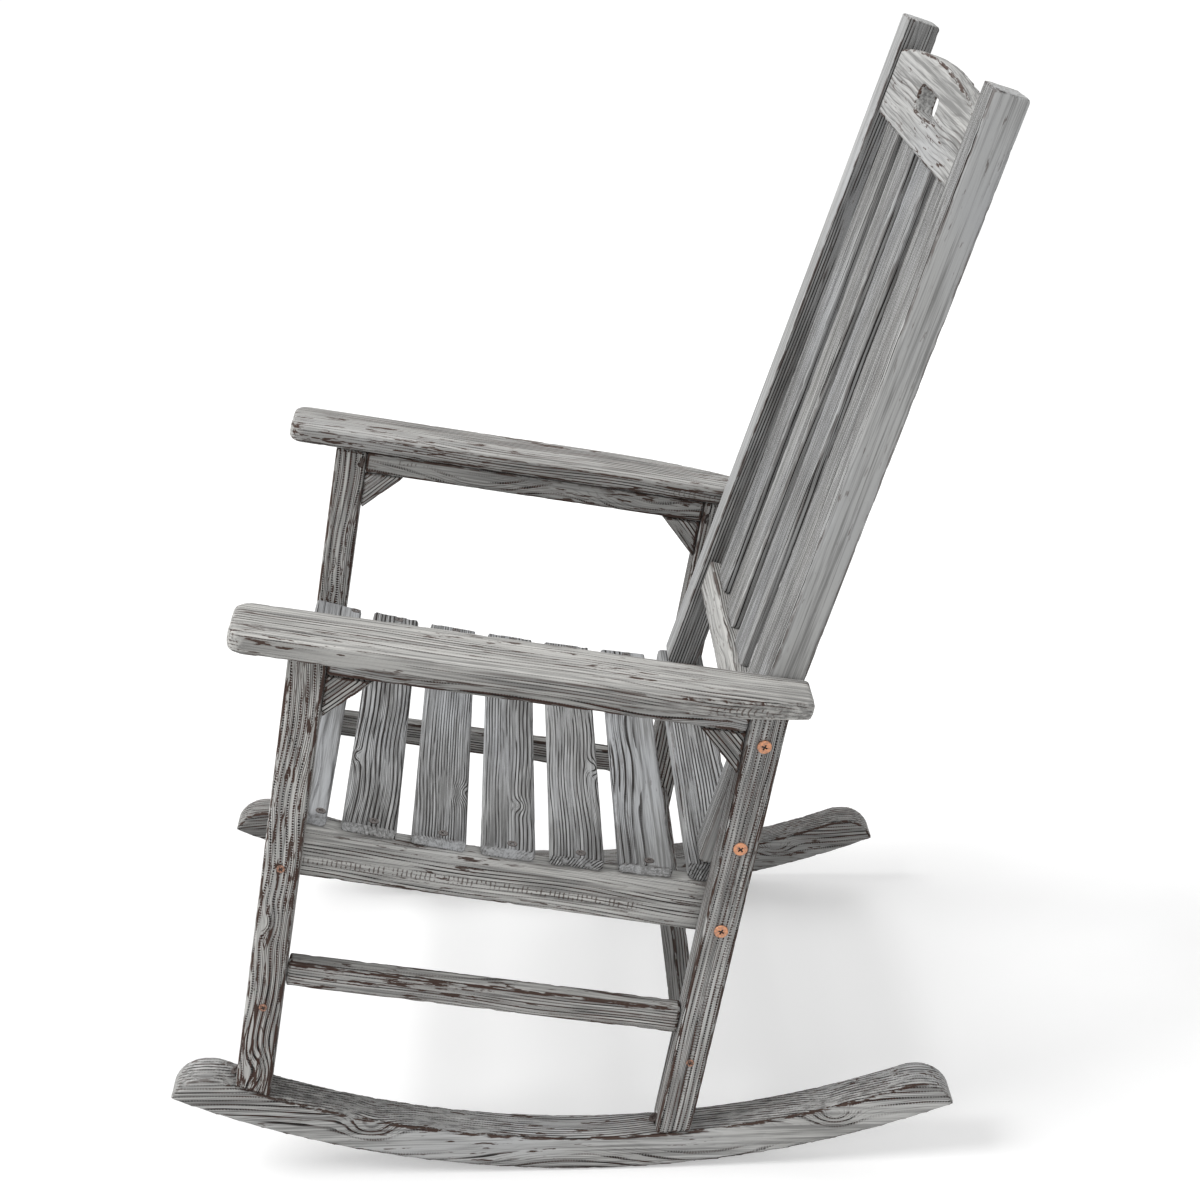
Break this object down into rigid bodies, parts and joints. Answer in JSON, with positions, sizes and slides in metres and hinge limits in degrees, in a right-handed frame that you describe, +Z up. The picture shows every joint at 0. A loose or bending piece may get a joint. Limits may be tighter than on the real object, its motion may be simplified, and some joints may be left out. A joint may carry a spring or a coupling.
{
  "type": "rocking chair",
  "caption": "High-backed slatted porch rocker of grey-washed boards, with flat arms, a dished slat seat, an arched crest with a hand hole and two bowed runners.",
  "frame": {"origin": "on the floor, on the chair's middle plane, under the middle of its length", "axes": "+Z up; the sitter faces -Y and the sitter's left is +X; the chair leans back 9.9 degrees on its runners, as it balances empty"},
  "size_m": [0.682, 0.8713, 1.1827],
  "materials": {
    "runner_wood": "weathered grey-washed softwood, grain following the bow",
    "leg_wood": "weathered grey-washed softwood, grain along the leg",
    "lengthwise_wood": "weathered grey-washed softwood, grain from front to back",
    "crosswise_wood": "weathered grey-washed softwood, grain from side to side",
    "back_wood": "weathered grey-washed softwood, grain up the back",
    "block_wood": "weathered grey-washed softwood, grain along the slope",
    "fastener_metal": "copper-coloured, satin, slightly dulled"
  },
  "bodies": {
    "root": {"apron_screws": "fastener_metal", "arm_apron_left": "lengthwise_wood", "arm_apron_right": "lengthwise_wood", "armrest_left": "lengthwise_wood", "armrest_right": "lengthwise_wood", "back_slat_1": "back_wood", "back_slat_2": "back_wood", "back_slat_3": "back_wood", "back_slat_4": "back_wood", "back_stile_left": "back_wood", "back_stile_right": "back_wood", "corner_block_front_left": "block_wood", "corner_block_front_right": "block_wood", "corner_block_rear_left": "block_wood", "corner_block_rear_right": "block_wood", "crest_rail": "crosswise_wood", "cross_stretcher_front": "crosswise_wood", "cross_stretcher_rear": "crosswise_wood", "foot_screws": "fastener_metal", "frame_bolts": "fastener_metal", "frame_screws": "fastener_metal", "front_leg_left": "leg_wood", "front_leg_right": "leg_wood", "front_seat_rail": "crosswise_wood", "lower_back_rail": "crosswise_wood", "rear_leg_left": "leg_wood", "rear_leg_right": "leg_wood", "runner_left": "runner_wood", "runner_right": "runner_wood", "seat_rail_left": "lengthwise_wood", "seat_rail_right": "lengthwise_wood", "seat_slat_1": "crosswise_wood", "seat_slat_2": "crosswise_wood", "seat_slat_3": "crosswise_wood", "seat_slat_4": "crosswise_wood", "seat_slat_5": "crosswise_wood", "seat_slat_6": "crosswise_wood", "seat_slat_7": "crosswise_wood", "side_stretcher_left": "lengthwise_wood", "side_stretcher_right": "lengthwise_wood", "slat_screws": "fastener_metal"}
  },
  "joints": []
}
